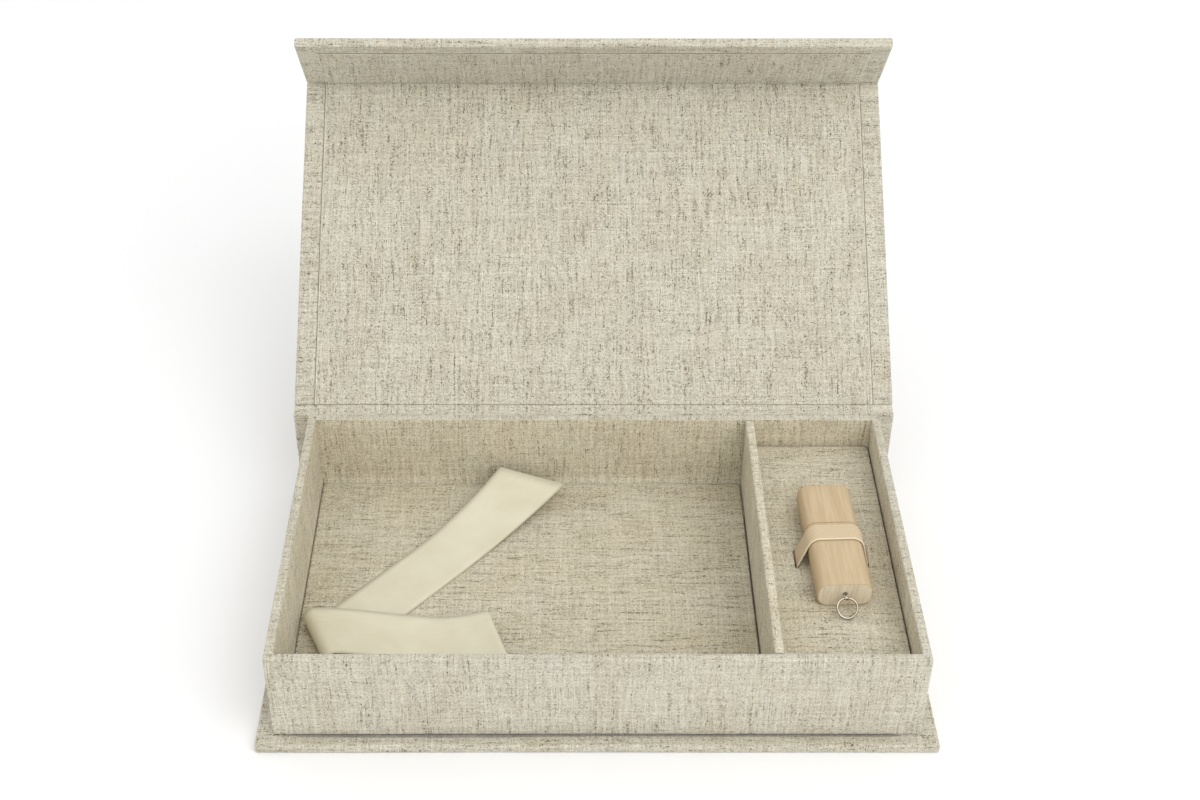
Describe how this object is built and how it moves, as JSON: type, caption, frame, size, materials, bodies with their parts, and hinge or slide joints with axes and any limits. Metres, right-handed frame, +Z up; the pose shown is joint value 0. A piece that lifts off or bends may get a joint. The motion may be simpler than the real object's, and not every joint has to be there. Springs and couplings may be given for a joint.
{
  "type": "photo storage box",
  "caption": "Linen-covered hinged box with a magnetic front flap, a divided tray with a lifting ribbon, and a wooden USB stick under an elastic band.",
  "frame": {"origin": "centre of the base board's underside, on the surface that the box stands on", "axes": "+Z up, +Y from the front edge to the spine, +X to the right as seen from the front"},
  "size_m": [0.258, 0.2774, 0.171],
  "materials": {
    "book_linen": "natural linen book cloth, matt",
    "lining_linen": "natural linen lining, matt",
    "greyboard": "bookbinder's greyboard, bare",
    "infill_paper": "infill paper",
    "cream_ribbon": "soft cotton ribbon",
    "beige_elastic": "ribbed elastic",
    "maple": "sanded maple",
    "plug_steel": "nickel-plated plug shell",
    "plug_plastic": "moulded plastic",
    "circuit_green": "circuit board",
    "contact_gold": "gilt contacts",
    "ring_steel": "bright wire",
    "magnet_nickel": "nickel-plated magnet",
    "plate_steel": "steel plate"
  },
  "bodies": {
    "tray": {"base_board": "greyboard", "spine_board": "greyboard", "case_cloth": "book_linen", "tray_bottom_board": "greyboard", "tray_front_board": "greyboard", "tray_back_board": "greyboard", "tray_left_board": "greyboard", "tray_right_board": "greyboard", "front_plates": "plate_steel", "tray_cloth": "book_linen", "divider_board": "greyboard", "divider_cloth": "book_linen", "floor_pad_card": "greyboard", "floor_pad_cloth": "lining_linen", "platform_card": "greyboard", "platform_cloth": "lining_linen", "platform_rails": "greyboard", "elastic_band": "beige_elastic", "ribbon": "cream_ribbon", "lid_hinge_cloth": "book_linen", "lid_hinge_liner": "lining_linen"},
    "lid": {"lid_board": "greyboard", "lid_cloth": "book_linen", "lid_infill": "infill_paper", "lid_liner": "lining_linen", "flap_hinge_cloth": "book_linen", "flap_hinge_liner": "lining_linen"},
    "flap": {"flap_board": "greyboard", "flap_magnets": "magnet_nickel", "flap_cloth": "book_linen", "flap_infill": "infill_paper", "flap_liner": "lining_linen"},
    "usb_stick": {"usb_body": "maple", "usb_plug": "plug_steel", "usb_collar": "plug_plastic", "usb_tongue": "plug_plastic", "usb_contacts": "contact_gold", "usb_circuit": "circuit_green", "screw_eye": "ring_steel"},
    "usb_cap": {"usb_cap": "maple"},
    "key_ring": {"key_ring": "ring_steel"}
  },
  "joints": [
    {"name": "lid_hinge", "type": "hinge", "parent": "tray", "child": "lid", "pos_m": [0, 0.07765, 0.0448], "axis": [1, 0, 0], "range_deg": [-48, 141.5], "deforming": ["lid_hinge_cloth", "lid_hinge_liner"]},
    {"name": "flap_hinge", "type": "hinge", "parent": "lid", "child": "flap", "pos_m": [0, 0.19578, 0.13841], "axis": [-1, 0, 0], "range_deg": [0, 95], "deforming": ["flap_hinge_cloth", "flap_hinge_liner"]},
    {"name": "stick_slide", "type": "slide", "parent": "tray", "child": "usb_stick", "axis": [0.0366, -0.9993, 0], "range_m": [0, 0.028]},
    {"name": "cap_pull", "type": "slide", "parent": "usb_stick", "child": "usb_cap", "axis": [-0.0366, 0.9993, 0], "range_m": [0, 0.025]},
    {"name": "ring_swing", "type": "hinge", "parent": "usb_stick", "child": "key_ring", "pos_m": [0.0963, -0.0305, 0.0359], "axis": [-0.9993, -0.0366, 0], "range_deg": [0, 115]}
  ]
}
